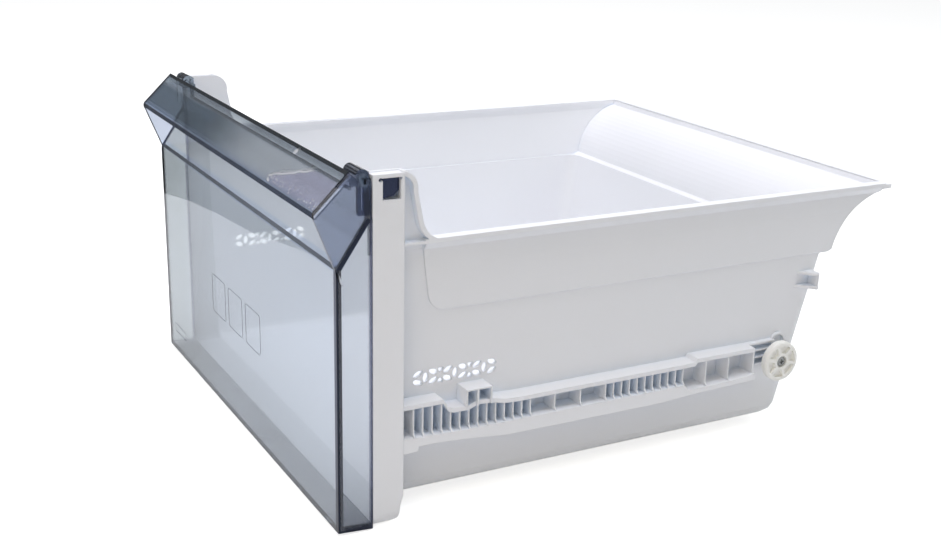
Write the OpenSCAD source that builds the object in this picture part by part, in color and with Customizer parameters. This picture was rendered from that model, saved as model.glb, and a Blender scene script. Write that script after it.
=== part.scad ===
// Freezer drawer: a white moulded tub with a front frame, side rails and two rear rollers.
// A smoked clear panel closes the front and a smoked clear grip runs along its top edge.
// Millimetres. X to the right, Y from the front face to the back, Z up from the feet.

/* [Overall] */
// Width over the front frame
overall_w = 370; // [340:1:400]
// Height of the tub rim above the feet
rim_z = 183.5; // [181:0.5:187]
// Where the rear rim ends, from the front face
rim_rear = 441.4; // [439:0.2:446]
// Top of the frame's two ears
ear_top = 228; // [226.5:0.5:236]

/* [Tub] */
// Thickness of the tub walls and floor
wall = 2.4; // [2:0.1:3]
// Underside of the tub floor
floor_z = 8.1; // [6:0.1:9]
// Half width of the tub at its floor, less than half the overall width by this much
floor_inset = 21.1; // [19:0.1:23]
// Rear wall at the floor
floor_rear = 364.5; // [362:0.5:368]
// How far a side wall leans out per millimetre of height
side_draft = 0.0793; // [0.07:0.001:0.085]
// How far the rear wall leans back per millimetre of height
rear_draft = 0.192; // [0.17:0.002:0.21]
// Radius of the upright rear corners
corner_r = 11; // [6:0.5:14]
// Radius of the edge between floor and walls
edge_r = 8; // [4:0.5:10]

/* [Flared upper band] */
// Height of the step where the band starts
step_z = 135; // [130:0.5:138]
// Radius of the hollow curve on the back of the rear flare
flare_r = 51.5; // [50:0.5:53]
// Centre of that curve, from the front face
flare_y = 443.5; // [442:0.5:446]
// Centre of that curve, height
flare_z = 128; // [126:0.5:129]
// Overhang of the rim edge inside half the overall width
rim_inset = 1.6; // [1:0.1:2.4]
// Thickness of the rim edge along the sides
rim_t = 1.8; // [1.4:0.1:2.4]
// Corner radius of the rim seen from above
rim_corner_r = 7; // [4:0.5:10]

/* [Front frame] */
// Front edge of the frame
frame_front = 23.2; // [23:0.1:24]
// Rear edge of the frame
frame_rear = 43.8; // [43:0.1:46]
// Thickness of the frame's outer plates
plate_t = 2.5; // [2:0.1:3]
// Radius of the frame's lower corners
frame_r = 9; // [6:0.5:12]

/* [Vents] */
// Height of the row of vents
vent_z = 89.9; // [86:0.1:100]
// First vent flower, from the front face
vent_y = 65.6; // [60:0.1:70]
// Spacing of the vent flowers
vent_pitch = 21; // [20:0.1:24]
// Length of one petal
petal_l = 6.8; // [5:0.1:7.5]
// Width of one petal
petal_w = 4; // [2:0.1:4.2]

/* [Rails] */
// Thickness of the rail's top plate
rail_t = 3; // [2:0.1:3.5]
// Thickness of the upright ribs
rib_t = 1; // [0.8:0.1:1.5]
// Height of the stop block's top
stop_top = 81.8; // [79:0.2:84]

/* [Rollers] */
// Roller diameter
roller_d = 30; // [26:0.5:32]
// Roller thickness
roller_t = 5.9; // [5:0.1:6]
// Axle position from the front face
axle_y = 348; // [346:0.5:350]
// Axle height
axle_z = 58.4; // [56:0.2:62]
// Radius of the smooth screw neck the roller turns on
neck_r = 2.2; // [1.9:0.1:2.4]
// Running clearance all round the neck
run_gap = 0.08; // [0.05:0.01:0.1]

/* [Smoked panel and grip] */
// Thickness of the upright front face
front_t = 4.2; // [3.6:0.1:4.6]
// Thickness of the sheet that slopes back and of its upright top
sheet = 3.4; // [2.6:0.1:3.6]
// Thickness of the leaning grip plate
grip_t = 2.5; // [2:0.1:3]
// Height of the fold where the sheet turns back
fold_z = 172.4; // [170:0.2:175]
// Forward reach of the grip's nose
nose_reach = 12.8; // [10:0.2:15]
// Height of the lower edge of the nose
nose_z = 204.7; // [202:0.1:208]
// Height of the top of the grip's rear edge
lip_z = 230.2; // [228:0.1:232]

/* [Hidden] */
$fn = 40;

eps = 0.02;
half_w = overall_w / 2;
side_in = half_w - plate_t;
floor_half = half_w - floor_inset;
rim_half = half_w - rim_inset;
ear_out = half_w - 7;
ear_in = ear_out - 2.5;
mouth_y = 38;
rail_half = half_w - 3;
lip_half = half_w - 0.7;
roller_out = half_w - 1.5;
boss_out = roller_out - roller_t - 0.3;
white = [0.93, 0.94, 0.95];
smoke = [0.55, 0.62, 0.68, 0.5];

// Points along an arc, used inside longer outlines.
function arc(cy, cz, r, from, to, n = 12) =
    [for (i = [0:n]) let (a = from + (to - from) * i / n) [cy + r * cos(a), cz + r * sin(a)]];
function unit(v) = v / norm(v);
function side_of(v) = [v[1], -v[0]];
// Where the line through p along d meets the line through q along e.
function meet(p, d, q, e) = p + d * (cross(q - p, e) / cross(d, e));

function half_at(z) = floor_half + side_draft * (z - floor_z);
function rear_at(z) = floor_rear + rear_draft * (z - floor_z);

// A side outline drawn in Y and Z, standing between two X positions.
module along_x(x0, x1) {
    translate([x0, 0, 0]) rotate([90, 0, 90]) linear_extrude(x1 - x0) children();
}

// A front outline drawn in X and Z, reaching from y0 to y1.
module along_y(y0, y1) {
    translate([0, y1, 0]) rotate([90, 0, 0]) linear_extrude(y1 - y0) children();
}

module both_sides() {
    children();
    mirror([1, 0, 0]) children();
}

// Everything is drawn from the front face, then moved so that the middle of the depth is Y 0.
module placed() {
    translate([0, (nose_reach - rim_rear) / 2, 0]) children();
}

module disc_x(x0, x1, y, z, r) {
    translate([x0, y, z]) rotate([0, 90, 0]) cylinder(h = x1 - x0, r = r);
}

// Tub shell

// A solid skinned over a list of closed outlines that all have the same number of points.
module loft(rings) {
    n = len(rings[0]);
    last = len(rings) - 1;
    polyhedron(
        points = [for (ring = rings) each ring],
        faces = concat(
            [[for (i = [0:n - 1]) i]],
            [[for (i = [n - 1:-1:0]) last * n + i]],
            [for (k = [0:last - 1], i = [0:n - 1]) let (j = (i + 1) % n)
                each [[k * n + i, k * n + n + i, k * n + n + j], [k * n + i, k * n + n + j, k * n + j]]]
        )
    );
}

// Plan of the tub at one height: square at the front, rounded at the rear.
function plan_points(half, front, rear, r) = concat(
    [[-half, front], [half, front]],
    arc(half - r, rear - r, r, 0, 90, 8),
    arc(r - half, rear - r, r, 90, 180, 8)
);
module plan(half, front, rear, r) polygon(plan_points(half, front, rear, r));
function plan_ring(inset, front, z) =
    [for (p = plan_points(half_at(z) - inset, front, rear_at(z) - inset, corner_r)) [p[0], p[1], z]];

// The tub as a solid: straight drafted walls with a rounded edge round the floor.
module tub_body(inset, front, bottom, top) {
    r = edge_r - inset;
    loft(concat(
        [for (a = [0:30:90]) plan_ring(inset + r * (1 - sin(a)), front, bottom + r * (1 - cos(a)))],
        [plan_ring(inset, front, top)]
    ));
}

// Side outline of the flared band: a leaning front edge, the step line and the rear flare.
module band_side(inset) {
    low = step_z + inset * 0.6;
    r = flare_r + inset;
    first = asin((low + 2 - flare_z) / r);
    last = acos((flare_y - rim_rear + 11.4) / r);
    polygon(concat(
        [[58.3 + inset, rim_z + 1], [60.2 + inset, 172]],
        arc(77 + inset, low + 12.8, 12.8, 186, 270, 6),
        [[rear_at(low) - inset, low]],
        arc(flare_y, flare_z, r, 180 - first, 180 - last, 14),
        [[rim_rear - 11.4 + 1.6, rim_z + 1]]
    ));
}

// Front outline of the flared band, turning out to the rim edge at 45 degrees.
module band_front(inset) {
    b = half_at(step_z) - inset + (inset > 0 ? 1.2 : 0);
    right = [
        [b, step_z - 1 + inset],
        [b + 1.2 * (inset > 0 ? 0 : 1), step_z + 1 + inset],
        [b + 3, 165],
        [b + 4.9 - 0.3 * inset, 177],
        [rim_half - inset * 3.2, rim_z - rim_t],
        [rim_half - inset * 3.2, rim_z + 1]
    ];
    polygon(concat(right, [for (i = [len(right) - 1:-1:0]) [-right[i][0], right[i][1]]]));
}

module band(inset) {
    intersection() {
        along_x(-half_w, half_w) band_side(inset);
        along_y(50, rim_rear) band_front(inset);
    }
}

// Rim: a flat edge round the tub, deeper along the back.
module rim() {
    translate([0, 0, rim_z - rim_t]) linear_extrude(rim_t)
        plan(rim_half, frame_rear - 1, rim_rear, rim_corner_r);
    intersection() {
        translate([0, 0, rim_z - 3]) linear_extrude(3)
            plan(rim_half, frame_rear, rim_rear, rim_corner_r);
        translate([-half_w, rim_rear - 12, 0]) cube([overall_w, 20, overall_w]);
    }
}

// Front frame

module frame_outline(half, bottom, r, top) {
    polygon(concat(
        [[half, top], [-half, top]],
        arc(r - half, bottom + r, r, 180, 270, 6),
        arc(half - r, bottom + r, r, 270, 360, 6)
    ));
}

// One outline of the funnel seen from behind: rounded lower corners, upright sides, open top.
function funnel_ring(low_half, high_half, low, r, y, top) = [for (p = concat(
    [[-high_half, rim_z], [-high_half, top], [high_half, top], [high_half, rim_z]],
    arc(low_half - r, low + r, r, 358, 270, 6),
    arc(r - low_half, low + r, r, 270, 182, 6)
)) [p[0], y, p[1]]];

// The frame narrows from its front edge to the mouth of the tub like a funnel.
module funnel(inset, top) {
    low = floor_z + wall - inset;
    loft([
        funnel_ring(side_in + inset, side_in + inset, plate_t - inset, frame_r - plate_t + inset,
            frame_front, top),
        funnel_ring(half_at(low) - wall + inset, ear_in + inset, low, edge_r - wall + inset,
            mouth_y + inset, top)
    ]);
}

// Two side plates and a bottom plate; their lower rear corners are cut away.
module frame_plates() {
    intersection() {
        along_y(frame_front, frame_rear) difference() {
            frame_outline(half_w, 0, frame_r, ear_top - 0.6);
            frame_outline(side_in, plate_t, frame_r - plate_t, ear_top);
        }
        along_x(-half_w, half_w) polygon([
            [frame_front, 0], [frame_rear - 7.9, 0], [frame_rear - 3.1, 3.9],
            [frame_rear - 1.9, 12.7], [frame_rear, 19.3], [frame_rear, ear_top],
            [frame_front, ear_top]
        ]);
    }
}

// Ears above the frame

// Side outline of an ear, sweeping down to the rim.
module ear_outline(inset) {
    top = ear_top - inset;
    sweep = 16 + inset;
    polygon(concat(
        [[frame_front, rim_z - 6], [frame_front, top]],
        arc(42, ear_top - 11.2, 11.2 - inset, 90, -10, 8),
        arc(72.3, rim_z + 16, sweep, 190, 270, 10),
        [[72.3, rim_z - 6]]
    ));
}

module ear() {
    along_x(ear_in, ear_out) ear_outline(0);
    // turned-out edge with a recess behind the frame
    difference() {
        along_x(ear_out - eps, rim_half) ear_outline(0);
        intersection() {
            along_x(ear_out - 1, half_w) ear_outline(3);
            translate([0, frame_rear, rim_z - 0.9]) cube([half_w, 60, 60]);
        }
        translate([ear_out - 1, 0, rim_z - 20]) cube([20, 90, 20 - rim_t]);
        translate([ear_out - 1, 0, 0]) cube([20, frame_rear - 1, ear_top + 1]);
    }
    // pocket for the panel's hook: roof, floor and back
    deep = frame_rear - frame_front;
    wide = side_in - ear_in + 1;
    translate([ear_in, frame_front, ear_top - 3]) cube([half_w - ear_in, deep, 2.4]);
    translate([ear_in, frame_front + 4, 198]) cube([wide, deep - 4, 2]);
    translate([ear_in, frame_rear - 2, rim_z - 4]) cube([wide, 2, ear_top - rim_z + 2]);
}

// Window in the side plate that shows the hook, with a slot along its top.
module hook_window() {
    along_x(side_in - 0.2, half_w + 1) {
        translate([29.6, ear_top - 16.4]) square([11.6, 13.4]);
        translate([28, ear_top - 4.4]) square([14, 1.4]);
        translate([28.2, ear_top - 3.9]) circle(r = 1.2, $fn = 24);
    }
}

// Vents

// A leaf between two arcs, with its two tips cut blunt.
module petal() {
    leaf_l = petal_l * 1.2;
    r = (leaf_l * leaf_l + petal_w * petal_w) / (4 * petal_w);
    intersection() {
        translate([petal_w / 2 - r, 0]) circle(r = r, $fn = 24);
        translate([r - petal_w / 2, 0]) circle(r = r, $fn = 24);
        square([petal_w + 1, petal_l], center = true);
    }
}

// Three flowers of five petals with half petals between them, cut through both sides.
module vents() {
    along_x(-half_w, half_w) intersection() {
        translate([0, vent_z - 5.2]) square([vent_y + 3 * vent_pitch, 10.4]);
        for (k = [0:2]) translate([vent_y + k * vent_pitch, vent_z]) {
            petal();
            for (sy = [-1, 1], sz = [-1, 1])
                translate([sy * 5.4, sz * 3.1]) rotate(sy * sz * 60) petal();
            if (k < 2) for (sz = [-1, 1]) translate([vent_pitch / 2, sz * 5.4]) petal();
        }
    }
}

// Rails

rail_top = [[43, 78], [72.5, 78], [76.5, 72], [80, 70.6], [91, 70.6], [97.5, 73.2],
    [107, 72.6], [118, 70.4], [130, 69.8], [270, 70.2], [272, 72.7], [323, 72.6]];
rail_foot = [[43, 56.4], [93, 55.2], [260, 55.5], [265, 50.9], [302, 52], [323, 53.7]];
lip_foot = [[323, 48.6], [272, 47.5], [240, 45.5], [118, 45.6], [92, 48.4], [68, 50],
    [54.5, 50], [54.5, 46.6], [43, 46.6]];
function raised(line, dz) = [for (p = line) [p[0], p[1] + dz]];
function reversed(line) = [for (i = [len(line) - 1:-1:0]) line[i]];

module rail_rib(y) {
    foot = lookup(y, rail_foot);
    top = lookup(y, rail_top) - 1;
    along_y(y - rib_t / 2, y + rib_t / 2) polygon([
        [floor_half, foot - 1], [lip_half - 0.3, foot - 1], [lip_half - 0.3, foot],
        [rail_half - 0.5, foot + 2.4], [rail_half - 0.5, top], [floor_half, top]
    ]);
}

module rail() {
    along_x(floor_half, rail_half) polygon(concat(rail_top, raised(reversed(rail_top), -rail_t)));
    along_x(floor_half, lip_half) polygon(concat(rail_foot, raised(reversed(rail_foot), -2)));
    along_x(rail_half, lip_half) polygon(concat(rail_foot, lip_foot));
    for (i = [0:13]) rail_rib(52.2 + 6.5 * i);
    for (y = [155.5, 175.5, 280, 300]) rail_rib(y);
    for (i = [0:10]) rail_rib(195.5 + 6.45 * i);
    // closed rear end
    along_x(floor_half, rail_half) translate([321.5, 48.5]) square([1.5, 24]);
}

// Hollow block on the rail that stops the drawer on its runner.
module stop_block() {
    low = 70;
    t = 1;
    y0 = 88.5;
    long = 18.5;
    first = 6.6;
    second_y = y0 + first + 2.4;
    difference() {
        translate([floor_half, y0, low]) cube([half_w - 1.5 - floor_half, long, stop_top - low]);
        for (cell = [[y0 + t, first], [second_y, y0 + long - t - second_y]])
            translate([half_at(stop_top) + 0.5, cell[0], low - 1])
                cube([20, cell[1], stop_top - low + 1 - t]);
    }
}

// Roller mounts and rear lug

module roller_mount() {
    loop_y = axle_y + 4.8;
    loop_z = axle_z + 11.5;
    loop_r = 6.6;
    rail_end = 322.5;
    disc_x(floor_half, boss_out, axle_y, axle_z, 5.5);
    // loop above the axle, tied to the rail by a narrow ledge
    difference() {
        disc_x(floor_half, half_w - 13, loop_y, loop_z, loop_r);
        disc_x(half_at(loop_z) + 0.3, half_w, loop_y, loop_z, loop_r - 1.8);
    }
    translate([floor_half, rail_end, 70.5])
        cube([half_w - 12 - floor_half, loop_y - loop_r + 1 - rail_end, 2.1]);
    // short ribs between the rail's end and the axle
    for (i = [-1:2]) translate([floor_half, rail_end, axle_z + 2.2 + 5.4 * i])
        cube([half_w - 11 - floor_half, axle_y - rail_end, 1.2]);
}

// Catch near the rear: two triangular plates joined by a rear wall, open to the outside.
module rear_lug() {
    z0 = 110.5;
    high = 12.2;
    t = 2;
    out = half_w - 1;
    module plate() {
        linear_extrude(t) difference() {
            polygon([
                [floor_half, 362], [half_at(z0) - 1, 362], [out, 374], [out, 377], [floor_half, 377]
            ]);
            difference() {
                translate([out - 3, 374]) square([4, 4]);
                translate([out - 3, 374]) circle(r = 3);
            }
        }
    }
    translate([0, 0, z0]) plate();
    translate([0, 0, z0 + high - t]) plate();
    translate([floor_half, 375, z0]) cube([out - 2 - floor_half, 2, high]);
}

module tub() {
    color(white) placed() difference() {
        union() {
            difference() {
                union() {
                    tub_body(0, mouth_y, floor_z, rim_z);
                    intersection() {
                        band(0);
                        linear_extrude(ear_top) plan(rim_half, 20, rim_rear, rim_corner_r);
                    }
                    rim();
                    frame_plates();
                    intersection() {
                        funnel(wall, rim_z + 17);
                        along_y(frame_front, frame_rear + 20) frame_outline(half_w, 0, frame_r, ear_top);
                    }
                    both_sides() {
                        rail();
                        stop_block();
                        roller_mount();
                        rear_lug();
                    }
                }
                tub_body(wall, mouth_y - 1, floor_z + wall, rim_z + 18);
                band(wall);
                funnel(0, rim_z + 18);
            }
            both_sides() ear();
        }
        vents();
        both_sides() hook_window();
        both_sides() disc_x(half_at(axle_z) + 1, half_w, axle_y, axle_z, 1.5);
    }
}

// Smoked front panel

fold = [0, fold_z];
knee = [19, 201];
slant = unit(knee - fold);
back_y = knee[0] + sheet;
slant_in = knee + sheet * side_of(slant);
sheet_top = 214.4;
sheet_end = 159;
knob_z = 226.8;
end_t = 3.6;
nose = [-nose_reach, nose_z];
lip = [9.6, lip_z];
// Height of the upright faces at the plate's two long edges.
grip_face = grip_t * sqrt(2);

// Side outline of the bent sheet: bottom wall, upright face, slope back and upright top
// with a full-round edge.
module bent_sheet(top) {
    r = sheet / 2;
    polygon([
        [0, 2.2], fold, knee, [knee[0], top - r], [back_y, top - r],
        meet(slant_in, slant, [back_y, 0], [0, 1]),
        meet(slant_in, slant, [front_t, 0], [0, 1]),
        [front_t, 5.4], [frame_front - 0.5, 3.9], [frame_front - 0.5, 0.7]
    ]);
    translate([knee[0] + r, top - r]) circle(r = r);
}

// Raised knobs at the two top corners with a pointed leg and the hook for the frame.
module panel_corner() {
    along_x(half_w - 22, half_w - end_t) {
        translate([18, knob_z]) circle(r = 4);
        translate([19.2, knob_z - 3.4]) circle(r = 3.5);
        translate([15.6, knob_z - 6.4]) square([back_y - 15.6, 6]);
        translate([knee[0], knee[1] + 10]) square([sheet, 18]);
    }
    along_x(half_w - 6.5, half_w - 2.9) {
        polygon([
            [14.9, knob_z - 3.4], [14.9, 206], [16, 203.5], [17.6, 206.5], [17.6, knob_z - 3.4]
        ]);
        polygon([
            [knee[0], 211.6], [29.6, 211.8], [37.9, 213.3], [41, 216.5], [41, ear_top - 3.6],
            [knee[0], ear_top - 3.6]
        ]);
    }
}

// Thin outlined rectangle with rounded corners, sunk into the front face.
module sunk_frame(x, z, w, h, r, line) {
    module block(in) {
        translate([x + r, z + in]) square([w - 2 * r, h - 2 * in]);
        translate([x + in, z + r]) square([w - 2 * in, h - 2 * r]);
        for (px = [x + r, x + w - r], pz = [z + r, z + h - r])
            translate([px, pz]) circle(r = r - in, $fn = 24);
    }
    along_y(-1, 0.3) difference() {
        block(0);
        block(line);
    }
}

// Bevel along an end edge: starts at a profile point and runs along d.
module end_bevel(start, d, leg) {
    side = leg * sqrt(2);
    translate([half_w, start[0], start[1]]) rotate([atan2(d[1], d[0]), 0, 0])
        translate([0, 15, 0]) rotate([0, 45, 0]) cube([side, 50, side], center = true);
}

module front_panel() {
    color(smoke) placed() difference() {
        union() {
            along_x(-half_w, half_w) bent_sheet(sheet_top);
            both_sides() {
                along_x(sheet_end, half_w) bent_sheet(knob_z - 1.4);
                along_x(half_w - end_t, half_w) polygon([
                    [0, 2.2], fold, nose, nose + [0, grip_face], lip, [lip[0], lip_z - 1],
                    [knee[0], 222], [back_y, 222], [back_y, 205], [frame_front - 0.1, 200],
                    [frame_front - 0.1, 0.7]
                ]);
                panel_corner();
                translate([half_w - 26, 1.5, 0]) cube([10, 8.5, 3]);
            }
        }
        for (x = [-60, -22, 16]) sunk_frame(x, 71, 31, 30, 3, 0.7);
        sunk_frame(-168, 19, 29.5, 7, 1.2, 0.5);
        both_sides() {
            end_bevel(nose + [0, grip_face], unit(lip - nose - [0, grip_face]), 2);
            end_bevel(fold, unit(nose - fold), 1);
        }
    }
}

// Smoked grip

// The grip is a leaning plate held between the two end walls of the front. Its two long
// edges are cut upright. Fingers reach under its nose from the front.
module handle_cover() {
    down = [0, -grip_face];
    color(smoke) placed() along_x(end_t - half_w, half_w - end_t)
        polygon([nose, nose - down, lip, lip + down]);
}

// Rollers and their screws

// A disc with a round front edge, six sunk pockets between spokes and a sunk screw seat.
module roller() {
    face = roller_t;
    rim = roller_d / 2;
    edge = 1.5;
    bore = neck_r + run_gap;
    seat_r = 4.3;
    seat = face - 2.2;
    difference() {
        rotate_extrude() polygon(concat(
            [[bore, 0], [rim - 0.8, 0], [rim, 0.8]],
            arc(rim - edge, face - edge, edge, 0, 90, 4),
            [[seat_r, face], [seat_r, seat], [bore, seat]]
        ));
        translate([0, 0, face - 2.4]) linear_extrude(3) difference() {
            circle(r = rim - 3);
            circle(r = 6.4);
            for (i = [0:2]) rotate(i * 60 + 17) square([2 * rim, 2.6], center = true);
        }
    }
}

// Cross-recessed screw: domed head, smooth neck up to the boss, threaded end inside it.
module roller_screw() {
    head = roller_t;
    core = 1.5;
    head_r = 3.6;
    difference() {
        rotate_extrude() polygon([
            [0, -8], [core - 0.4, -8], [core, -7], [core, 0], [neck_r, 0], [neck_r, head - 1.6],
            [head_r, head - 1.6], [head_r, head - 0.8], [head_r - 0.8, head - 0.2],
            [head_r - 2, head], [0, head]
        ]);
        translate([0, 0, head - 1.2]) linear_extrude(2) {
            square([4, 1], center = true);
            square([1, 4], center = true);
        }
    }
}

module on_axle(x) {
    placed() translate([x, axle_y, axle_z]) rotate([0, 90, 0]) children();
}

module roller_right() {
    color([0.87, 0.87, 0.83]) on_axle(boss_out + 0.3) roller();
}

module roller_left() {
    color([0.87, 0.87, 0.83]) mirror([1, 0, 0]) on_axle(boss_out + 0.3) roller();
}

module roller_screw_right() {
    color([0.6, 0.62, 0.62]) on_axle(boss_out) roller_screw();
}

module roller_screw_left() {
    color([0.6, 0.62, 0.62]) mirror([1, 0, 0]) on_axle(boss_out) roller_screw();
}

tub();
front_panel();
handle_cover();
roller_left();
roller_right();
roller_screw_left();
roller_screw_right();
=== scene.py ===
# %% [markdown]
# # A freezer drawer, dressed and lit
#
# The object is a white moulded freezer drawer. Its front is closed by a smoked clear panel with a
# clear grip along the top, and it runs on ribbed rails and two small rollers. The exact solids
# come from the CAD model. This lesson gives them their plastics, adds the traces of making and
# use, and sets up the camera and the light of the photograph.

import math

import bpy
from mathutils import Matrix, Vector

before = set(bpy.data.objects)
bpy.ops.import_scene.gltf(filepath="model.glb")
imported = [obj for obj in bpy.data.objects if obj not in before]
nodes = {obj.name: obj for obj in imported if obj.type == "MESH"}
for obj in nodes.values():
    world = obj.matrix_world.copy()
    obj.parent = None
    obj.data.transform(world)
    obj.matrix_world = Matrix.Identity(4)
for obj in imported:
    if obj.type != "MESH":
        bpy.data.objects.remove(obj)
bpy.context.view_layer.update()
print("nodes:", sorted(nodes))

# %% [markdown]
# ## Where things are
#
# The model's zero lies in the middle of the depth, but a drawer is easier to measure from its
# front face. A small helper turns millimetres from the front face, the middle of the width and
# the underside into the model's metres, so every later number can be checked with a ruler.

# %% A ruler from the front face
FRONT_FACE = -0.2143


def at(x_mm, y_mm, z_mm):
    return Vector((x_mm / 1000, FRONT_FACE + y_mm / 1000, z_mm / 1000))


print("grip nose at", tuple(round(v, 4) for v in at(0, -12.8, 204.9)))

# %% [markdown]
# ## The camera
#
# The straight edges of a drawer tell exactly where the photographer stood: to the right of the
# front, a little above the rim, under a metre away. The turn, tilt and roll below come from
# those edges. A small shift of the lens puts the drawer where it stands in the picture without
# changing the perspective.

# %% Camera
TURN = math.radians(59.99)
TILT = math.radians(17.85)
ROLL = math.radians(1.88)
PICTURE = (941, 555)
FOCAL_PX = 1334.42
CENTRE_PX = (514.44, 280.08)

back = Vector((math.sin(TURN) * math.cos(TILT), -math.cos(TURN) * math.cos(TILT), math.sin(TILT)))
level = (-back).cross(Vector((0, 0, 1))).normalized()
upright = level.cross(-back)
right = math.cos(ROLL) * level + math.sin(ROLL) * upright
top = math.cos(ROLL) * upright - math.sin(ROLL) * level

camera_data = bpy.data.cameras.new("camera")
camera = bpy.data.objects.new("camera", camera_data)
bpy.context.scene.collection.objects.link(camera)
place = Matrix((right, top, back)).transposed().to_4x4()
place.translation = at(873.82, -278.36, 407.79)
camera.matrix_world = place
camera_data.sensor_width = 36
camera_data.lens = FOCAL_PX * 36 / PICTURE[0]
camera_data.shift_x = (PICTURE[0] / 2 - CENTRE_PX[0]) / PICTURE[0]
camera_data.shift_y = (CENTRE_PX[1] - PICTURE[1] / 2) / PICTURE[0]
camera_data.clip_start = 0.01
bpy.context.scene.camera = camera
print("camera at", tuple(round(v, 3) for v in camera.location), "lens", round(camera_data.lens, 2))

# %% [markdown]
# ## Small helpers for shader nodes
#
# Every finish below is a graph of nodes. Two helpers keep the graphs readable: one adds a node
# and fills in its sockets, the other starts a new material and hands back its main shader.

# %% Shader helpers


def add(tree, kind, x, y, **values):
    node = tree.nodes.new(kind)
    node.location = (x, y)
    for name, value in values.items():
        if name.startswith("set_"):
            setattr(node, name[4:], value)
        else:
            node.inputs[name.replace("_", " ")].default_value = value
    return node


def new_material(name):
    material = bpy.data.materials.new(name)
    material.use_nodes = True
    tree = material.node_tree
    return material, tree, tree.nodes["Principled BSDF"]


def ramp(tree, source, x, y, stops):
    node = add(tree, "ShaderNodeValToRGB", x, y)
    while len(node.color_ramp.elements) < len(stops):
        node.color_ramp.elements.new(0.5)
    for element, (position, colour) in zip(node.color_ramp.elements, stops):
        element.position = position
        element.color = (*colour, 1) if len(colour) == 3 else colour
    tree.links.new(source, node.inputs["Fac"])
    return node.outputs["Color"]


# %% [markdown]
# ## White tub plastic
#
# A freezer bin is moulded from white plastic with a fine, slightly waxy surface. It is never
# perfectly even: the colour drifts a little, long shallow waves show where the melt cooled,
# and handling leaves faint scuffs. The Bevel node rounds the edges in the shading only, which
# gives each rib and rim the thin highlight that a moulded edge has. In the hollows between the
# ribs, shade is painted into the colour as a cooler, bluer white.

# %% White plastic
white, tree, shader = new_material("white_tub_plastic")
shader.inputs["IOR"].default_value = 1.49
spots = add(tree, "ShaderNodeTexCoord", -1400, 0)
drift = add(tree, "ShaderNodeTexNoise", -1150, 250, Scale=7, Detail=3)
tree.links.new(spots.outputs["Object"], drift.inputs["Vector"])
tint = ramp(tree, drift.outputs["Fac"], -900, 250, [(0.3, (0.860, 0.875, 0.908)), (0.7, (0.88, 0.892, 0.922))])
# Painted shade: where Ambient Occlusion finds a hollow, a cooler, bluer white is mixed into the colour.
hollows = add(tree, "ShaderNodeAmbientOcclusion", -900, 600, Distance=0.014)
hollows.samples = 4
hollows.only_local = True
depth = add(tree, "ShaderNodeMapRange", -700, 600, From_Min=0.5, From_Max=0.12)
tree.links.new(hollows.outputs["AO"], depth.inputs["Value"])
painted_hollow_shade = add(tree, "ShaderNodeMix", -450, 400, set_data_type="RGBA")
tree.links.new(depth.outputs["Result"], painted_hollow_shade.inputs[0])
tree.links.new(tint, painted_hollow_shade.inputs[6])
painted_hollow_shade.inputs[7].default_value = (0.79, 0.88, 1.0, 1)
tree.links.new(painted_hollow_shade.outputs[2], shader.inputs["Base Color"])

scuffs = add(tree, "ShaderNodeTexNoise", -1150, 0, Scale=60, Detail=8, Roughness=0.7)
tree.links.new(spots.outputs["Object"], scuffs.inputs["Vector"])
dullness = ramp(tree, scuffs.outputs["Fac"], -900, 0, [(0.35, (0.30,) * 3), (0.75, (0.44,) * 3)])
tree.links.new(dullness, shader.inputs["Roughness"])

soft_edges = add(tree, "ShaderNodeBevel", -900, -500, Radius=0.0009, set_samples=4)
waves = add(tree, "ShaderNodeTexNoise", -1150, -250, Scale=9, Detail=1)
tree.links.new(spots.outputs["Object"], waves.inputs["Vector"])
waviness = add(tree, "ShaderNodeBump", -600, -350, Strength=0.12, Distance=0.002)
tree.links.new(waves.outputs["Fac"], waviness.inputs["Height"])
tree.links.new(soft_edges.outputs["Normal"], waviness.inputs["Normal"])
grain = add(tree, "ShaderNodeTexNoise", -1150, -500, Scale=900, Detail=2)
tree.links.new(spots.outputs["Object"], grain.inputs["Vector"])
fine_grain = add(tree, "ShaderNodeBump", -350, -400, Strength=0.08, Distance=0.0002)
tree.links.new(grain.outputs["Fac"], fine_grain.inputs["Height"])
tree.links.new(waviness.outputs["Normal"], fine_grain.inputs["Normal"])
tree.links.new(fine_grain.outputs["Normal"], shader.inputs["Normal"])
print("made", white.name)

# %% [markdown]
# ## Smoked clear plastic
#
# The front is clear plastic with a little grey-blue dye all through it. One sheet looks pale,
# but where the eye looks along the sheet, at edges and folds, the light has travelled a long way
# inside it and comes out dark. Real refraction together with a volume that absorbs light gives
# both looks from one finish; on top of that, painted shade darkens the colour at the panel's
# corners and edges and along the grip's rims. The dye is a constant, so it is set on the volume's
# own sockets.

# %% Smoked plastic
CLEARNESS = 0.92
CLEAR_TONE = (0.92, 0.95, 0.98)


def smoked_plastic(name, dye_strength):
    material, tree, shader = new_material(name)
    shader.inputs["Transmission Weight"].default_value = CLEARNESS
    shader.inputs["IOR"].default_value = 1.49
    shader.inputs["Specular Tint"].default_value = (0.55, 0.64, 0.95, 1)
    spots = add(tree, "ShaderNodeTexCoord", -1800, 0)
    haze = add(tree, "ShaderNodeTexNoise", -950, 0, Scale=14, Detail=4)
    tree.links.new(spots.outputs["Object"], haze.inputs["Vector"])
    polish = ramp(tree, haze.outputs["Fac"], -700, 0, [(0.4, (0.015,) * 3), (0.75, (0.06,) * 3)])
    tree.links.new(polish, shader.inputs["Roughness"])
    dye = add(tree, "ShaderNodeVolumeAbsorption", -200, -350, Density=dye_strength)
    dye.inputs["Color"].default_value = (0.27, 0.34, 0.40, 1)
    tree.links.new(dye.outputs["Volume"], tree.nodes["Material Output"].inputs["Volume"])
    split = add(tree, "ShaderNodeSeparateXYZ", -1600, 300)
    tree.links.new(spots.outputs["Object"], split.inputs[0])
    return material, tree, shader, spots, split


# %% Masks that mark a place on a piece


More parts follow.
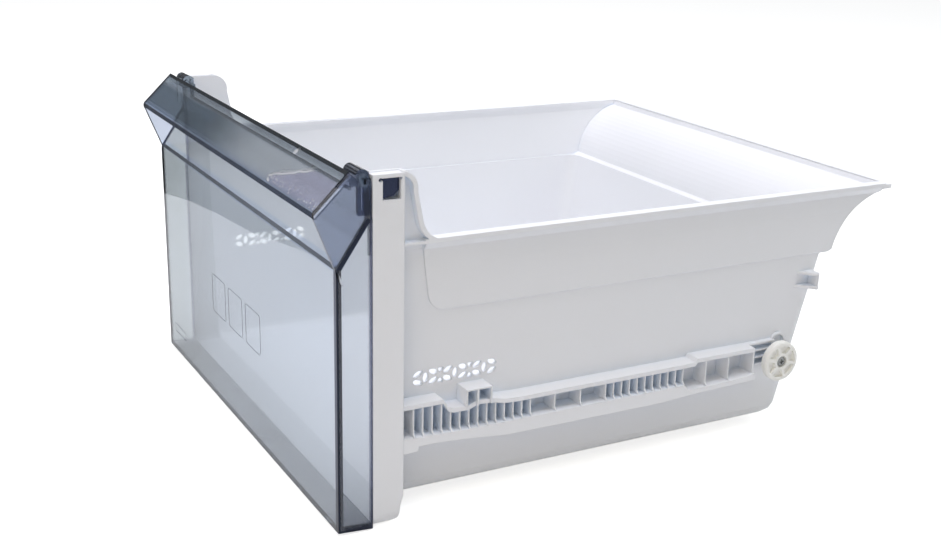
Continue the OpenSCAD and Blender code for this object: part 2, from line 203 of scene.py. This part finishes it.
def between(source, x, y, low, high):
    node = add(tree, "ShaderNodeMapRange", x, y, From_Min=low, From_Max=high)
    node.interpolation_type = "SMOOTHSTEP"
    tree.links.new(source, node.inputs["Value"])
    return node.outputs["Result"]


def calculate(operation, first, second, x, y):
    node = add(tree, "ShaderNodeMath", x, y, set_operation=operation)
    tree.links.new(first, node.inputs[0])
    tree.links.new(second, node.inputs[1])
    return node.outputs[0]


def times(first, second, x, y):
    return calculate("MULTIPLY", first, second, x, y)


# %% Smoked plastic of the panel, with shade painted into its corners, folds and edges
smoked, tree, shader, spots, split = smoked_plastic("smoked_clear_plastic", 120.0)
SOFT = 0.3
REAR_EDGE = 23.1
SLOPE = Vector((0, 28.6, -19)).normalized()
outward = add(tree, "ShaderNodeMath", -1400, 500, set_operation="ABSOLUTE")
tree.links.new(split.outputs["X"], outward.inputs[0])
from_fold = add(tree, "ShaderNodeVectorMath", -1600, 100, set_operation="SUBTRACT")
from_fold.inputs[1].default_value = at(0, 0, 172.4)
tree.links.new(spots.outputs["Object"], from_fold.inputs[0])
into_slope = add(tree, "ShaderNodeVectorMath", -1400, 100, set_operation="DOT_PRODUCT")
into_slope.inputs[1].default_value = SLOPE
tree.links.new(from_fold.outputs[0], into_slope.inputs[0])
from_nose = add(tree, "ShaderNodeVectorMath", -1600, -100, set_operation="SUBTRACT")
from_nose.inputs[1].default_value = at(0, -12.8, 208.2)
tree.links.new(spots.outputs["Object"], from_nose.inputs[0])
below_top = add(tree, "ShaderNodeVectorMath", -1400, -100, set_operation="DOT_PRODUCT")
below_top.inputs[1].default_value = (0, 0.700, -0.714)
tree.links.new(from_nose.outputs[0], below_top.inputs[0])
MEASURE = {
    "right": (split.outputs["X"], 0),
    "side": (outward.outputs[0], 0),
    "back": (split.outputs["Y"], FRONT_FACE),
    "up": (split.outputs["Z"], 0),
    "slope": (into_slope.outputs["Value"], 0),
    "depth": (below_top.outputs["Value"], 0),
}


def place_mask(limits, soft, x, y):
    mask = None
    for direction, (low, high) in limits.items():
        source, zero = MEASURE[direction]
        for edge, turn in ((low, 1), (high, -1)):
            if edge is None:
                continue
            width = soft if direction == "right" else SOFT
            start = zero + (edge - turn * width) / 1000
            end = zero + (edge + turn * width) / 1000
            step = between(source, x, y, start, end)
            mask = step if mask is None else times(mask, step, x + 200, y)
    return mask


def with_painted_shade(colour_in, y, limits, colour, soft=SOFT):
    blend = add(tree, "ShaderNodeMix", -450, y, set_data_type="RGBA")
    tree.links.new(place_mask(limits, soft, -900, y), blend.inputs[0])
    if colour_in is None:
        blend.inputs[6].default_value = (*CLEAR_TONE, 1)
    else:
        tree.links.new(colour_in, blend.inputs[6])
    blend.inputs[7].default_value = (*colour, 1)
    return blend.outputs[2]


# Painted shade: each tint below paints the panel's colour darker in one place: the end faces, the fold, the bottom wall
# and its edge, the front corner, the rear edge, the knob and the left of the front face. Two of them lift it back
# towards clear.
END_FACE = {"side": (181.2, None), "slope": (None, 0), "up": (172.5, None)}
PAINTED_DARK_EDGE = (0.002, 0.003, 0.014)
PAINTED_SHADE_TINTS = [
    ({"side": (181.2, None)}, (0.84, 0.85, 0.85)),
    (END_FACE, (0.60, 0.64, 0.75)),
    ({**END_FACE, "depth": (None, 1.7)}, (0.95, 0.96, 0.98)),
    ({**END_FACE, "depth": (2.0, 3.0)}, (0.16, 0.18, 0.25)),
    ({"slope": (-0.5, 4), "back": (3, None), "side": (None, 181.2)}, (0.88, 0.90, 0.92)),
    ({"back": (None, 4), "up": (171, 177), "side": (None, 184)}, (0.62, 0.70, 0.86)),
    ({"back": (4.2, None), "up": (None, 5.4)}, (0.70, 0.73, 0.77)),
    ({"right": (160, None), "back": (4.2, None), "up": (None, 5.4)}, (0.45, 0.48, 0.53), 14),
    ({"right": (None, -110), "back": (None, 4.2), "up": (None, 172)}, (0.78, 0.81, 0.81), 45),
    ({"side": (181, None), "back": (-1, 1.5), "up": (None, 172.4)}, (0.004, 0.005, 0.014)),
    ({"side": (181.2, None), "slope": (-0.3, 2.8), "up": (172.5, 202)}, PAINTED_DARK_EDGE),
    ({"side": (181, None), "up": (None, 3.9)}, (0.03, 0.04, 0.06)),
    ({"side": (181.2, None), "back": (REAR_EDGE - 1.6, None), "up": (None, 206)}, (0.16, 0.16, 0.22)),
    ({"right": (178.3, None), "back": (13.8, None), "up": (204, None)}, (0.10, 0.12, 0.20)),
    ({"side": (162, None), "up": (221.6, None)}, (0.80, 0.84, 0.90)),
    ({"right": (162, None), "up": (221.6, None)}, (0.22, 0.25, 0.34)),
    ({"back": (22.6, None), "up": (211, None)}, (0.13, 0.15, 0.26)),
]
painted_shade_colour = None
for number, tint in enumerate(PAINTED_SHADE_TINTS):
    painted_shade_colour = with_painted_shade(painted_shade_colour, 900 - 260 * number, *tint)
tree.links.new(painted_shade_colour, shader.inputs["Base Color"])
print("made", smoked.name, "with", len(PAINTED_SHADE_TINTS), "tints")

# %% Smoked plastic of the grip, rubbed by hands, with painted shade and a painted highlight
# Painted shade: darker bands, by height, along the grip's lower edge and its rear rim, where the sheet looks dark
# edge-on.
RIM_SHADE_BANDS = [
    (0.2044, (0.58, 0.66, 0.84)),
    (0.2081, (0.58, 0.66, 0.84)),
    (0.2085, CLEAR_TONE),
    (0.2240, CLEAR_TONE),
    (0.2248, (0.46, 0.50, 0.54)),
    (0.2266, (0.46, 0.50, 0.54)),
    (0.2270, (0.66, 0.70, 0.74)),
    (0.2284, (0.66, 0.70, 0.74)),
    (0.2288, (0.44, 0.48, 0.52)),
]
grip_plastic, tree, shader, spots, split = smoked_plastic("smoked_grip_plastic", 220.0)
painted_rim_shade = ramp(tree, split.outputs["Z"], -950, 700, RIM_SHADE_BANDS)

upwards = between(split.outputs["Z"], -1400, 100, 0.2086, 0.2094)
below_rim = between(split.outputs["Z"], -1400, 300, 0.2245, 0.2225)
plate_only = times(upwards, below_rim, -1150, 200)
sideways = between(split.outputs["X"], -1400, 500, -0.06, 0.06)
clouds = add(tree, "ShaderNodeTexNoise", -1400, -150, Scale=11, Detail=4)
tree.links.new(spots.outputs["Object"], clouds.inputs["Vector"])
patchy = between(clouds.outputs["Fac"], -1150, -150, 0.2, 0.8)
film = times(times(sideways, plate_only, -950, 300), patchy, -750, 300)
wobble = add(tree, "ShaderNodeTexNoise", -1400, -600, Scale=90, Detail=4)
tree.links.new(spots.outputs["Object"], wobble.inputs["Vector"])


def along_line(start, end, y):
    """How far a point is along a line on the plate, and how far it is above it."""
    x0, z0 = start
    line = Vector((end[0] - x0, 0, end[1] - z0))
    local = add(tree, "ShaderNodeVectorMath", -1200, y, set_operation="SUBTRACT")
    local.inputs[1].default_value = (x0 / 1000, 0, z0 / 1000)
    tree.links.new(spots.outputs["Object"], local.inputs[0])
    found = []
    for direction in (line.normalized(), Vector((-line.z, 0, line.x)).normalized()):
        dot = add(tree, "ShaderNodeVectorMath", -1000, y, set_operation="DOT_PRODUCT")
        dot.inputs[1].default_value = direction
        tree.links.new(local.outputs[0], dot.inputs[0])
        found.append(dot.outputs["Value"])
    shaky = add(tree, "ShaderNodeMath", -800, y, set_operation="MULTIPLY_ADD")
    shaky.inputs[1].default_value = WOBBLE
    tree.links.new(wobble.outputs["Fac"], shaky.inputs[0])
    tree.links.new(found[1], shaky.inputs[2])
    return found[0], shaky.outputs[0], line.length / 1000


def drawn_line(start, end, half_width, y):
    along, above, length = along_line(start, end, y)
    lower = between(above, -600, y, WOBBLE / 2 - 2 * half_width, WOBBLE / 2 - half_width / 2)
    upper = between(above, -600, y, WOBBLE / 2 + 2 * half_width, WOBBLE / 2 + half_width / 2)
    begun = between(along, -600, y, -0.001, 0.001)
    ended = between(along, -600, y, length, length - 0.004)
    return times(times(lower, upper, -400, y), times(begun, ended, -400, y), -300, y)


def strongest(masks, y):
    whole = masks[0]
    for mask in masks[1:]:
        whole = calculate("MAXIMUM", whole, mask, -200, y)
    return whole


# A dried splash on the right half: an outline, small drops and a purplish film inside it.
WOBBLE = 0.004
outline = drawn_line((99, 211.6), (148, 224.4), 0.0005, -400)
tip = drawn_line((108, 207.6), (98.5, 211.6), 0.0005, -500)
WOBBLE = 0.0015
streak = drawn_line((2, 224.2), (62, 210), 0.0003, -600)
far, above, _ = along_line((99, 211.6), (148, 224.4), -700)
inside = times(between(above, -600, -700, 0.001, -0.001), between(far, -600, -750, 0.0, 0.006), -400, -700)
drops = add(tree, "ShaderNodeTexVoronoi", -1000, -850, Scale=330)
tree.links.new(spots.outputs["Object"], drops.inputs["Vector"])
lower_half = between(split.outputs["Z"], -800, -950, 0.2165, 0.2105)
dots = times(between(drops.outputs["Distance"], -800, -850, 0.34, 0.18), lower_half, -600, -850)
wet = times(dots, inside, -400, -850)
# Painted highlight: a small round light spot near the top of the plate's right half, mixed in with the splash as
# whitish, less clear plastic.
from_highlight_spot = add(tree, "ShaderNodeVectorMath", -1000, -1000, set_operation="SUBTRACT")
from_highlight_spot.inputs[1].default_value = (0.1066, 0, 0.2267)
tree.links.new(spots.outputs["Object"], from_highlight_spot.inputs[0])
flat_highlight_spot = add(tree, "ShaderNodeVectorMath", -800, -1000, set_operation="MULTIPLY")
flat_highlight_spot.inputs[1].default_value = (0.55, 0, 1)
tree.links.new(from_highlight_spot.outputs[0], flat_highlight_spot.inputs[0])
highlight_spot_size = add(tree, "ShaderNodeVectorMath", -600, -1000, set_operation="LENGTH")
tree.links.new(flat_highlight_spot.outputs[0], highlight_spot_size.inputs[0])
highlight_spot = between(highlight_spot_size.outputs["Value"], -400, -1000, 0.0017, 0.0012)
faint = add(tree, "ShaderNodeMath", -300, -600, set_operation="MULTIPLY")
faint.inputs[1].default_value = 0.7
tree.links.new(times(streak, patchy, -400, -620), faint.inputs[0])
on_plate = times(strongest([outline, tip, wet, faint.outputs[0]], -500), plate_only, -100, -500)
splash_and_highlight_spot = strongest([on_plate, highlight_spot], -300)

purple = add(tree, "ShaderNodeMix", -300, 700, set_data_type="RGBA", set_blend_type="MULTIPLY")
tree.links.new(times(inside, plate_only, -500, 800), purple.inputs[0])
tree.links.new(painted_rim_shade, purple.inputs[6])
purple.inputs[7].default_value = (0.93, 0.88, 1.0, 1)
# Painted shade: the left half of the plate is darkened.
LEFT_SHADE = (0.38, 0.42, 0.45)
painted_left_shade = add(tree, "ShaderNodeMix", -150, 700, set_data_type="RGBA", set_blend_type="MULTIPLY")
tree.links.new(times(between(split.outputs["X"], -500, 900, 0.06, -0.06), plate_only, -300, 900), painted_left_shade.inputs[0])
tree.links.new(purple.outputs[2], painted_left_shade.inputs[6])
painted_left_shade.inputs[7].default_value = (*LEFT_SHADE, 1)
whitish = add(tree, "ShaderNodeMix", 0, 700, set_data_type="RGBA")
tree.links.new(splash_and_highlight_spot, whitish.inputs[0])
tree.links.new(painted_left_shade.outputs[2], whitish.inputs[6])
whitish.inputs[7].default_value = (0.95, 0.95, 0.96, 1)
tree.links.new(whitish.outputs[2], shader.inputs["Base Color"])

dulled = add(tree, "ShaderNodeMapRange", -500, 300, To_Min=CLEARNESS, To_Max=0.78)
tree.links.new(film, dulled.inputs["Value"])
dried_splash_and_highlight = add(tree, "ShaderNodeMapRange", -300, 100, To_Min=1.0, To_Max=0.7)
tree.links.new(splash_and_highlight_spot, dried_splash_and_highlight.inputs["Value"])
clear = times(dulled.outputs["Result"], dried_splash_and_highlight.outputs["Result"], -100, 300)
tree.links.new(clear, shader.inputs["Transmission Weight"])
print("made", grip_plastic.name)

# %% [markdown]
# ## Roller plastic and screw
#
# The rollers are natural, slightly yellowed plastic, softer and more matt than the tub. The
# screw is plated steel, dull from handling, with a darker cross where the driver sits.

# %% Roller plastic
roller_white, tree, shader = new_material("natural_roller_plastic")
shader.inputs["IOR"].default_value = 1.5
spots = add(tree, "ShaderNodeTexCoord", -1100, 0)
age = add(tree, "ShaderNodeTexNoise", -850, 200, Scale=60, Detail=4)
tree.links.new(spots.outputs["Object"], age.inputs["Vector"])
yellowing = ramp(tree, age.outputs["Fac"], -600, 200, [(0.3, (0.92, 0.92, 0.88)), (0.75, (0.96, 0.96, 0.93))])
tree.links.new(yellowing, shader.inputs["Base Color"])
rubbing = ramp(tree, age.outputs["Fac"], -600, -50, [(0.3, (0.42,) * 3), (0.7, (0.56,) * 3)])
tree.links.new(rubbing, shader.inputs["Roughness"])
soft_edges = add(tree, "ShaderNodeBevel", -600, -300, Radius=0.0004, set_samples=4)
mould_grain = add(tree, "ShaderNodeTexNoise", -850, -300, Scale=700, Detail=2)
tree.links.new(spots.outputs["Object"], mould_grain.inputs["Vector"])
skin = add(tree, "ShaderNodeBump", -350, -200, Strength=0.1, Distance=0.0002)
tree.links.new(mould_grain.outputs["Fac"], skin.inputs["Height"])
tree.links.new(soft_edges.outputs["Normal"], skin.inputs["Normal"])
tree.links.new(skin.outputs["Normal"], shader.inputs["Normal"])
print("made", roller_white.name)

# %% Plated screw steel
steel, tree, shader = new_material("plated_screw_steel")
shader.inputs["Metallic"].default_value = 1
spots = add(tree, "ShaderNodeTexCoord", -1100, 0)
plating = add(tree, "ShaderNodeTexNoise", -850, 0, Scale=400, Detail=5)
tree.links.new(spots.outputs["Object"], plating.inputs["Vector"])
metal_tone = ramp(tree, plating.outputs["Fac"], -600, 150, [(0.3, (0.20, 0.21, 0.21)), (0.75, (0.36, 0.37, 0.365))])
tree.links.new(metal_tone, shader.inputs["Base Color"])
wear = ramp(tree, plating.outputs["Fac"], -600, -100, [(0.3, (0.30,) * 3), (0.7, (0.5,) * 3)])
tree.links.new(wear, shader.inputs["Roughness"])
print("made", steel.name)

# %% [markdown]
# ## Putting the finishes on
#
# The CAD nodes keep their exact shape and only get a better material in their slots.

# %% Give each piece its finish
FINISH = {
    "tub": white,
    "front_panel": smoked,
    "handle_cover": grip_plastic,
    "roller_left": roller_white,
    "roller_right": roller_white,
    "roller_screw_left": steel,
    "roller_screw_right": steel,
}
for name, finish in FINISH.items():
    for material_slot in nodes[name].material_slots:
        material_slot.material = finish
print("dressed", len(FINISH), "pieces")

# %% [markdown]
# ## Floor and background
#
# The drawer stands on a plain white floor. To the camera, and to anything mirrored in the clear
# front, floor and surroundings are white paper. The floor still catches the soft shadow, because
# the extra brightness is only added on top of its ordinary diffuse white. Seen through the clear
# bottom, the floor under the drawer gets painted shade: its colour is darkened there.

# %% Floor
floor_mesh = bpy.data.meshes.new("floor")
reach = 6
floor_mesh.from_pydata([(-reach, -reach, 0), (reach, -reach, 0), (reach, reach, 0), (-reach, reach, 0)], [], [(0, 1, 2, 3)])
floor = bpy.data.objects.new("floor", floor_mesh)
floor.location.z = -0.0003
bpy.context.scene.collection.objects.link(floor)

UNDER_WIDTH = 370
UNDER_DEPTH = 366

paper = bpy.data.materials.new("white_paper_floor")
paper.use_nodes = True
tree = paper.node_tree
tree.nodes.clear()
diffuse = add(tree, "ShaderNodeBsdfDiffuse", 0, 0)
seen = add(tree, "ShaderNodeLightPath", -600, 200)
spots = add(tree, "ShaderNodeTexCoord", -1400, 0)
off_centre = add(tree, "ShaderNodeVectorMath", -1200, 0, set_operation="SUBTRACT")
off_centre.inputs[1].default_value = at(0, UNDER_DEPTH / 2, 0)
tree.links.new(spots.outputs["Object"], off_centre.inputs[0])
sides = add(tree, "ShaderNodeSeparateXYZ", -1000, 0)
tree.links.new(off_centre.outputs[0], sides.inputs[0])
outside = []
for side, half, y in (("X", UNDER_WIDTH / 2000, 0), ("Y", UNDER_DEPTH / 2000, -200)):
    away = add(tree, "ShaderNodeMath", -800, y, set_operation="ABSOLUTE")
    tree.links.new(sides.outputs[side], away.inputs[0])
    past = add(tree, "ShaderNodeMapRange", -600, y, From_Min=half - 0.004, From_Max=half + 0.001)
    tree.links.new(away.outputs[0], past.inputs["Value"])
    outside.append(past.outputs["Result"])
open_floor = add(tree, "ShaderNodeMath", -400, -100, set_operation="MAXIMUM")
tree.links.new(outside[0], open_floor.inputs[0])
tree.links.new(outside[1], open_floor.inputs[1])
# Painted shade: under the drawer, the floor's colour is darkened for rays that come through the clear bottom.
gap = add(tree, "ShaderNodeMath", -400, -400, set_operation="SUBTRACT")
gap.inputs[0].default_value = 1
tree.links.new(open_floor.outputs[0], gap.inputs[1])
painted_gap_shade = add(tree, "ShaderNodeMath", -200, -400, set_operation="MULTIPLY")
tree.links.new(gap.outputs[0], painted_gap_shade.inputs[0])
tree.links.new(seen.outputs["Is Transmission Ray"], painted_gap_shade.inputs[1])
mirrored = add(tree, "ShaderNodeMath", -200, -250, set_operation="MULTIPLY_ADD")
mirrored.inputs[1].default_value = -0.16
mirrored.inputs[2].default_value = 0.80
tree.links.new(seen.outputs["Is Glossy Ray"], mirrored.inputs[0])
paper_tone_and_gap_shade = add(tree, "ShaderNodeMath", 0, -250, set_operation="MULTIPLY_ADD")
paper_tone_and_gap_shade.inputs[1].default_value = -0.65
tree.links.new(painted_gap_shade.outputs[0], paper_tone_and_gap_shade.inputs[0])
tree.links.new(mirrored.outputs[0], paper_tone_and_gap_shade.inputs[2])
tree.links.new(paper_tone_and_gap_shade.outputs[0], diffuse.inputs["Color"])
through = add(tree, "ShaderNodeMath", -300, 0, set_operation="MULTIPLY")
tree.links.new(open_floor.outputs[0], through.inputs[0])
tree.links.new(seen.outputs["Is Transmission Ray"], through.inputs[1])
straight = add(tree, "ShaderNodeMath", -200, 100, set_operation="MAXIMUM")
tree.links.new(seen.outputs["Is Camera Ray"], straight.inputs[0])
tree.links.new(through.outputs[0], straight.inputs[1])
bright = add(tree, "ShaderNodeMath", -200, 200, set_operation="MULTIPLY")
bright.inputs[1].default_value = 0.75
tree.links.new(straight.outputs[0], bright.inputs[0])
strength = add(tree, "ShaderNodeMath", 0, 200, set_operation="MULTIPLY_ADD")
strength.inputs[1].default_value = 0.36
tree.links.new(seen.outputs["Is Glossy Ray"], strength.inputs[0])
tree.links.new(bright.outputs[0], strength.inputs[2])
glow = add(tree, "ShaderNodeEmission", 200, 200)
tree.links.new(strength.outputs[0], glow.inputs["Strength"])
both = add(tree, "ShaderNodeAddShader", 400, 0)
tree.links.new(diffuse.outputs[0], both.inputs[0])
tree.links.new(glow.outputs[0], both.inputs[1])
sheet_out = add(tree, "ShaderNodeOutputMaterial", 600, 0)
tree.links.new(both.outputs[0], sheet_out.inputs["Surface"])
floor_mesh.materials.append(paper)
print("floor", reach * 2, "m wide")

# %% Dark surroundings, seen only in the clear front


def reflected_card(name, corners_mm, finish):
    mesh = bpy.data.meshes.new(name)
    mesh.from_pydata([at(*corner) for corner in corners_mm], [], [tuple(range(len(corners_mm)))])
    mesh.materials.append(finish)
    card = bpy.data.objects.new(name, mesh)
    bpy.context.scene.collection.objects.link(card)
    for ray in ("camera", "diffuse", "transmission", "shadow", "volume_scatter"):
        setattr(card, "visible_" + ray, False)
    return card


WALL_DARK_Y = -700
WALL_LIGHT_Y = -1080

dark = bpy.data.materials.new("dark_surroundings")
dark.use_nodes = True
tree = dark.node_tree
tree.nodes.clear()
spots = add(tree, "ShaderNodeTexCoord", -900, 0)
clutter = add(tree, "ShaderNodeTexNoise", -700, 0, Scale=3, Detail=3)
tree.links.new(spots.outputs["Object"], clutter.inputs["Vector"])
tones = ramp(tree, clutter.outputs["Fac"], -450, 0, [(0.35, (0.03, 0.035, 0.04)), (0.7, (0.16, 0.16, 0.17))])
shade = add(tree, "ShaderNodeEmission", -150, 0)
tree.links.new(tones, shade.inputs["Color"])
dark_out = add(tree, "ShaderNodeOutputMaterial", 50, 0)
tree.links.new(shade.outputs[0], dark_out.inputs["Surface"])

edge_of_paper = [(-1200, -60), (-690, -134), (-645, -151), (-575, -163), (-491, -173), (-394, -200), (-352, -211), (-200, -260), (200, -420)]
reflected_card("dark_floor", [(x, y, 0.6) for x, y in edge_of_paper] + [(200, -3000, 0.6), (-3000, -3000, 0.6), (-3000, 400, 0.6)], dark)

wall = bpy.data.materials.new("wall_beside_a_window")
wall.use_nodes = True
tree = wall.node_tree
tree.nodes.clear()
spots = add(tree, "ShaderNodeTexCoord", -900, 0)
split = add(tree, "ShaderNodeSeparateXYZ", -700, 0)
tree.links.new(spots.outputs["Object"], split.inputs[0])
towards_window = add(tree, "ShaderNodeMapRange", -500, 0, To_Min=0.05, To_Max=0.82)
towards_window.inputs["From Min"].default_value = at(0, WALL_DARK_Y, 0).y
towards_window.inputs["From Max"].default_value = at(0, WALL_LIGHT_Y, 0).y
tree.links.new(split.outputs["Y"], towards_window.inputs["Value"])
shade = add(tree, "ShaderNodeEmission", -250, 0)
shade.inputs["Color"].default_value = (0.95, 0.98, 1.0, 1)
tree.links.new(towards_window.outputs["Result"], shade.inputs["Strength"])
wall_out = add(tree, "ShaderNodeOutputMaterial", 0, 0)
tree.links.new(shade.outputs[0], wall_out.inputs["Surface"])
reflected_card("side_wall", [(-2600, -3000, 0), (-2600, 1200, 0), (-2600, 1200, 1500), (-2600, -3000, 1500)], wall)

# %% World
world = bpy.data.worlds.new("studio")
bpy.context.scene.world = world
world.use_nodes = True
tree = world.node_tree
tree.nodes.clear()
seen = add(tree, "ShaderNodeLightPath", -600, 200)
either = add(tree, "ShaderNodeMath", -400, 200, set_operation="MAXIMUM")
tree.links.new(seen.outputs["Is Camera Ray"], either.inputs[0])
tree.links.new(seen.outputs["Is Glossy Ray"], either.inputs[1])
any_view = add(tree, "ShaderNodeMath", -200, 200, set_operation="MAXIMUM")
tree.links.new(either.outputs[0], any_view.inputs[0])
tree.links.new(seen.outputs["Is Transmission Ray"], any_view.inputs[1])
room = add(tree, "ShaderNodeBackground", 0, 0, Strength=0.22)
room.inputs["Color"].default_value = (0.95, 0.98, 1.0, 1)
backdrop = add(tree, "ShaderNodeBackground", 0, -150, Strength=1.0)
backdrop.inputs["Color"].default_value = (1, 1, 1, 1)
choose = add(tree, "ShaderNodeMixShader", 200, 0)
tree.links.new(any_view.outputs[0], choose.inputs[0])
tree.links.new(room.outputs[0], choose.inputs[1])
tree.links.new(backdrop.outputs[0], choose.inputs[2])
world_out = add(tree, "ShaderNodeOutputWorld", 400, 0)
tree.links.new(choose.outputs[0], world_out.inputs["Surface"])
print("world ready")

# %% [markdown]
# ## The lamps
#
# Product light for a white object is large and soft. One wide lamp hangs above and a little
# behind, so the rim and the sloping rear wall are the brightest. A weaker one stands at the
# front left and lifts the inside walls.

# %% Lamps
MIDDLE = (0, 220, 100)


def soft_lamp(name, place_mm, size, watts, colour):
    lamp = bpy.data.lights.new(name, "AREA")
    lamp.color = colour
    lamp.shape = "SQUARE"
    lamp.size = size
    lamp.energy = watts
    stand = bpy.data.objects.new(name, lamp)
    bpy.context.scene.collection.objects.link(stand)
    stand.location = at(*place_mm)
    stand.rotation_euler = (at(*MIDDLE) - stand.location).to_track_quat("-Z", "Y").to_euler()
    return stand


soft_lamp("overhead_lamp", (100, 200, 1700), 1.6, 27.0, (0.91, 0.91, 1.0))
soft_lamp("right_front_lamp", (1200, -1000, 1200), 1.2, 5.5, (1.0, 0.80, 0.52))
soft_lamp("rear_lamp", (500, 1600, 1300), 1.2, 7.6, (0.93, 1.0, 0.93))
soft_lamp("front_lamp", (-300, -1500, 500), 1.0, 5.0, (0.95, 0.97, 1.0))
strip = soft_lamp("front_strip", (0, 11, 160), 0.34, 0.035, (0.97, 0.98, 1.0))
strip.data.shape = "RECTANGLE"
strip.data.size_y = 0.01
strip.rotation_euler = (math.radians(14), 0, 0)
for ray in ("camera", "glossy", "transmission"):
    setattr(strip, "visible_" + ray, False)
print("five lamps")

# %% [markdown]
#
# The Standard view keeps the colours as they are written.

# %% Finish
bpy.context.scene.view_settings.view_transform = "Standard"
